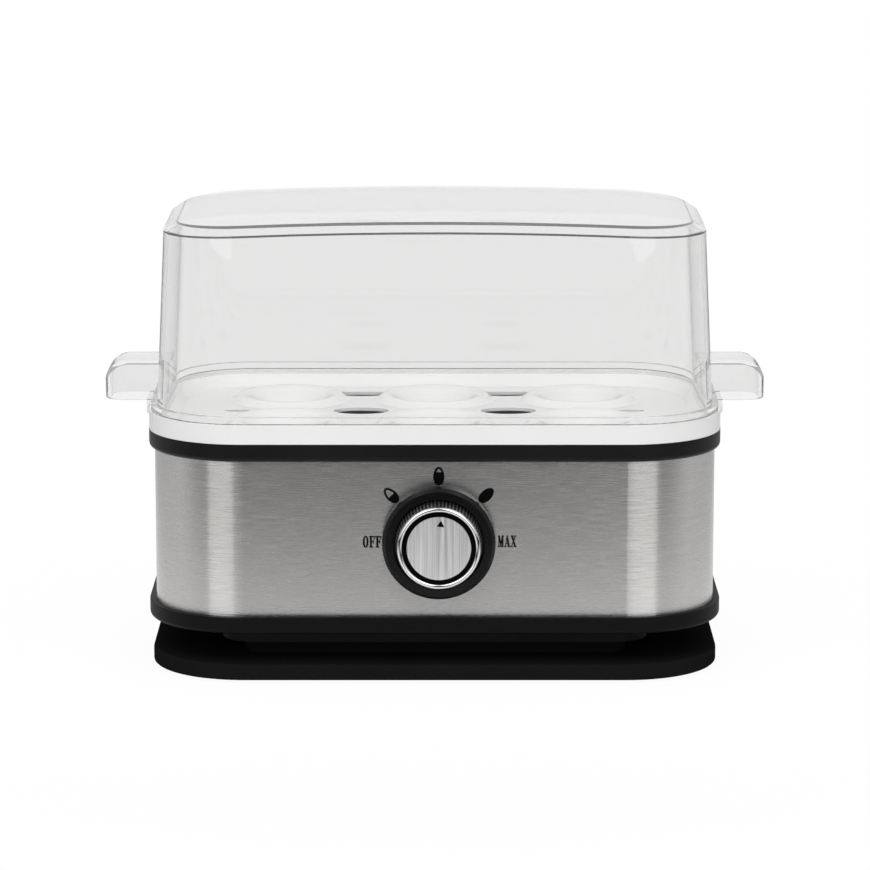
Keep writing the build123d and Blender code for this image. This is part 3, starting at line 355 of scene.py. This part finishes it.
def egg_mark(name, turn, fill):
    """One egg that stands outwards from the knob, filled from its inner end."""
    deselect()
    bpy.ops.mesh.primitive_circle_add(vertices=MARK_CORNERS, radius=1.0, fill_type="NGON")
    mark = bpy.context.object
    for corner in mark.data.vertices:
        corner.co.x *= MARK_WIDTH / 2 * (1 - MARK_TAPER * corner.co.y)
        corner.co.y *= MARK_HEIGHT / 2
    if fill < 1:
        level = MARK_HEIGHT * (fill - 0.5)
        bpy.ops.object.mode_set(mode="EDIT")
        bpy.ops.mesh.select_all(action="SELECT")
        bpy.ops.mesh.inset(thickness=MARK_STROKE, depth=0.0)
        bpy.ops.mesh.bisect(plane_co=(0, level, 0), plane_no=(0, 1, 0))
        bpy.ops.mesh.select_all(action="DESELECT")
        bpy.ops.object.mode_set(mode="OBJECT")
        for face in mark.data.polygons:
            face.select = len(face.vertices) > 4 and face.center.y > level
        bpy.ops.object.mode_set(mode="EDIT")
        bpy.ops.mesh.select_mode(type="FACE")
        bpy.ops.mesh.delete(type="ONLY_FACE")
        bpy.ops.object.mode_set(mode="OBJECT")
    thicken(mark, PRINT)
    place(mark, about_knob(MARK_RING, turn, STEEL_FRONT), turn)
    hand_over(mark, name, "base", INK)


egg_mark("soft_egg_mark", math.radians(-45), fill=0.48)
egg_mark("medium_egg_mark", 0.0, fill=0.7)
egg_mark("hard_egg_mark", math.radians(45), fill=1.0)


# Words printed on the steel, each letter drawn in a cell one wide and one high

LETTERS = {
    "F": [[(0, 0), (0.62, 0), (0.62, 0.06), (0.44, 0.06), (0.44, 0.47), (0.7, 0.47), (0.7, 0.35),
           (0.8, 0.35), (0.8, 0.67), (0.7, 0.67), (0.7, 0.54), (0.44, 0.54), (0.44, 0.93), (0.84, 0.93),
           (0.9, 0.76), (1, 0.76), (1, 1), (0, 1), (0, 0.94), (0.15, 0.94), (0.15, 0.06), (0, 0.06)]],
    "M": [[(0, 0), (0.3, 0), (0.3, 0.06), (0.2, 0.06), (0.2, 0.72), (0.45, 0), (0.53, 0), (0.72, 0.7),
           (0.72, 0.06), (0.62, 0.06), (0.62, 0), (1, 0), (1, 0.06), (0.94, 0.06), (0.94, 0.94),
           (1, 0.94), (1, 1), (0.72, 1), (0.53, 0.36), (0.3, 1), (0, 1), (0, 0.94), (0.1, 0.94),
           (0.1, 0.06), (0, 0.06)]],
    "A": [[(0, 0), (0.32, 0), (0.32, 0.06), (0.22, 0.06), (0.28, 0.27), (0.6, 0.27), (0.66, 0.06),
           (0.56, 0.06), (0.56, 0), (1, 0), (1, 0.06), (0.93, 0.06), (0.6, 1), (0.46, 1), (0.12, 0.06),
           (0, 0.06)],
          [(0.45, 0.76), (0.58, 0.34), (0.31, 0.34)]],
    "X": [[(0, 0), (0.34, 0), (0.34, 0.06), (0.24, 0.06), (0.46, 0.42), (0.64, 0.06), (0.54, 0.06),
           (0.54, 0), (1, 0), (1, 0.06), (0.93, 0.06), (0.62, 0.55), (0.84, 0.94), (0.96, 0.94),
           (0.96, 1), (0.64, 1), (0.64, 0.94), (0.74, 0.94), (0.55, 0.64), (0.38, 0.94), (0.48, 0.94),
           (0.48, 1), (0.02, 1), (0.02, 0.94), (0.1, 0.94), (0.41, 0.5), (0.12, 0.06), (0, 0.06)]],
}
ROUND_CORNERS = 40
ROUND = [2 * math.pi * step / ROUND_CORNERS for step in range(ROUND_CORNERS)]
LETTERS["O"] = [
    [(0.5 + half * math.cos(t), 0.5 + way * tall * math.sin(t)) for t in ROUND]
    for half, tall, way in ((0.5, 0.52, 1), (0.2, 0.44, -1))
]
LETTER_WIDTH = 2.05 * MM
LETTER_GAP = 0.3 * MM
LETTER_HEIGHT = 4.2 * MM
LETTER_BOLD = 0.08 * MM


def dial_word(name, word, middle_x, middle_z):
    """A word printed beside the knob."""
    deselect()
    outline = bpy.data.curves.new(name, "CURVE")
    outline.dimensions = "2D"
    outline.fill_mode = "BOTH"
    length = len(word) * LETTER_WIDTH + (len(word) - 1) * LETTER_GAP
    for count, letter in enumerate(word):
        left = count * (LETTER_WIDTH + LETTER_GAP) - length / 2
        for loop in LETTERS[letter]:
            line = outline.splines.new("POLY")
            line.points.add(len(loop) - 1)
            line.use_cyclic_u = True
            for point, (x, y) in zip(line.points, loop):
                point.co = (left + x * LETTER_WIDTH, (y - 0.5) * LETTER_HEIGHT, 0, 1)
    text = bpy.data.objects.new(name, outline)
    bpy.context.collection.objects.link(text)
    text.select_set(True)
    bpy.context.view_layer.objects.active = text
    outline.extrude = PRINT / 2
    outline.offset = LETTER_BOLD
    bpy.ops.object.convert(target="MESH")
    place(text, (middle_x, STEEL_FRONT - PRINT / 2, middle_z))
    hand_over(text, name, "base", INK)


dial_word("off_word", "OFF", KNOB_X - 24.6 * MM, 53.5 * MM)
dial_word("max_word", "MAX", KNOB_X + 25.2 * MM, 53.7 * MM)


# Pointer on the knob's cap

POINTER_WIDTH = 2.8 * MM
POINTER_HEIGHT = 2.3 * MM
POINTER_RADIUS = 9.3 * MM
POINTER_TURN = math.radians(4.3)


def knob_pointer():
    """The small black triangle that shows where the knob stands."""
    deselect()
    bpy.ops.mesh.primitive_circle_add(vertices=3, radius=1.0, fill_type="NGON")
    pointer = bpy.context.object
    tip = max(corner.co.y for corner in pointer.data.vertices)
    for corner in pointer.data.vertices:
        corner.co.y = POINTER_HEIGHT / 2 if corner.co.y > tip - 0.1 else -POINTER_HEIGHT / 2
        corner.co.x = math.copysign(POINTER_WIDTH / 2, corner.co.x) if corner.co.y < 0 else 0.0
    thicken(pointer, PRINT)
    place(pointer, about_knob(POINTER_RADIUS, POINTER_TURN, CAP_FRONT), POINTER_TURN)
    hand_over(pointer, "knob_pointer", "knob", INK)


knob_pointer()


# Studio

ROOM_FRONT = 0.02
ROOM_MIDDLE = 0.66
ROOM_BACK = 0.92


def studio_world():
    """White to the eye, and a studio to the steel: pale behind the cooker, dark behind the camera."""
    world = bpy.data.worlds.new("studio")
    bpy.context.scene.world = world
    world.use_nodes = True
    tree = world.node_tree
    seen = tree.nodes["Background"]
    seen.inputs["Color"].default_value = grey(1)
    room = add(tree, "ShaderNodeBackground", Strength=1.0)
    coordinates = add(tree, "ShaderNodeTexCoord")
    backwards = split_axes(tree, coordinates.outputs["Generated"])["Y"]
    ramp = add(tree, "ShaderNodeValToRGB")
    first, last = ramp.color_ramp.elements
    first.color = grey(ROOM_FRONT)
    last.color = grey(ROOM_BACK)
    middle = ramp.color_ramp.elements.new(0.5)
    middle.color = grey(ROOM_MIDDLE)
    tree.links.new(scaled(tree, backwards, -1.0, 1.0, 0.0, 1.0), ramp.inputs["Fac"])
    tree.links.new(ramp.outputs["Color"], room.inputs["Color"])
    shown = mixed(tree, seen_directly(tree), room.outputs["Background"], seen.outputs["Background"])
    tree.links.new(shown, tree.nodes["World Output"].inputs["Surface"])


FLOOR_SIZE = 8.0
FLOOR_DROP = 0.2 * MM
FLOOR_WHITE = 0.95
FLOOR_PAINTED_SHADE = 0.02
LIT_FLOOR_FRONT = (-0.34, -0.12)  # the floor that lights the steel ends softly in front, where its colour is painted dark as painted shade
LIT_FLOOR_SIDES = (0.14, 0.3)  # and its colour is painted duller to the sides, as painted shade
SIDES_PAINTED_SHADE = 0.6
SHADOW_REACH = (0.1, 0.3)
SHADOW_GLOW = 0.95


def studio_floor():
    """A white floor that runs out to plain white to the eye and keeps a soft shadow near the cooker; for the
    light it casts back, its colour is painted dark in front and duller to the sides as painted shade.
    """
    deselect()
    bpy.ops.mesh.primitive_plane_add(size=FLOOR_SIZE, location=(0, 0, -FLOOR_DROP))
    floor = bpy.context.object
    floor.name = "studio_floor"
    material, tree, shader = new_finish("floor_white")
    shader.inputs["Roughness"].default_value = 0.9
    shader.inputs["Specular IOR Level"].default_value = 0.0
    glow = add(tree, "ShaderNodeEmission", Strength=1.0)
    coordinates = add(tree, "ShaderNodeTexCoord")
    radius = add(tree, "ShaderNodeVectorMath")
    radius.operation = "LENGTH"
    tree.links.new(coordinates.outputs["Object"], radius.inputs[0])
    axes = split_axes(tree, coordinates.outputs["Object"])
    # Painted shade: the floor's colour darkens towards the front and to the sides.
    front = scaled(tree, axes["Y"], *LIT_FLOOR_FRONT, FLOOR_PAINTED_SHADE, FLOOR_WHITE)
    sides = scaled(tree, maths(tree, "ABSOLUTE", axes["X"]), *LIT_FLOOR_SIDES, 1.0, SIDES_PAINTED_SHADE)
    tree.links.new(maths(tree, "MULTIPLY", front, sides), shader.inputs["Base Color"])
    plain = scaled(tree, radius.outputs["Value"], *SHADOW_REACH, SHADOW_GLOW, 1.0)
    share = maths(tree, "MULTIPLY", seen_directly(tree), plain)
    shown = mixed(tree, share, shader.outputs["BSDF"], glow.outputs["Emission"])
    tree.links.new(shown, tree.nodes["Material Output"].inputs["Surface"])
    floor.data.materials.append(material)


MIDDLE = (0, SHELL_BACK_SHIFT, 80 * MM)


def softbox(name, where, width, height, power):
    """A soft lamp that faces the cooker's middle, and isn't itself seen through the clear lid."""
    lamp = bpy.data.lights.new(name, "AREA")
    lamp.shape = "RECTANGLE"
    lamp.size = width
    lamp.size_y = height
    lamp.energy = power
    holder = bpy.data.objects.new(name, lamp)
    bpy.context.collection.objects.link(holder)
    holder.location = where
    holder.visible_transmission = False
    sight = [a - b for a, b in zip(MIDDLE, where)]
    flat = math.hypot(sight[0], sight[1])
    holder.rotation_euler = (math.atan2(flat, -sight[2]), 0, math.atan2(-sight[0], sight[1]))


def photo_camera():
    """The camera at the photograph's viewing angle."""
    lens = bpy.data.cameras.new("camera")
    lens.lens = CAMERA_LENS
    lens.sensor_width = SENSOR
    lens.clip_end = FARTHEST_SEEN
    camera = bpy.data.objects.new("camera", lens)
    bpy.context.collection.objects.link(camera)
    camera.location = CAMERA_PLACE
    camera.rotation_euler = (CAMERA_TILT, 0, 0)
    bpy.context.scene.camera = camera


studio_world()
studio_floor()
softbox("top_left_box", (-0.42, -0.7, 0.95), width=0.7, height=0.7, power=3.9)
softbox("top_right_box", (0.42, -0.7, 0.95), width=0.7, height=0.7, power=3.9)
softbox("left_panel", (-1.03, -1.72, 0.7), width=1.2, height=1.4, power=9.0)
softbox("right_panel", (0.84, -1.81, 0.7), width=1.25, height=1.4, power=9.9)
photo_camera()
bpy.context.scene.view_settings.view_transform = "Standard"
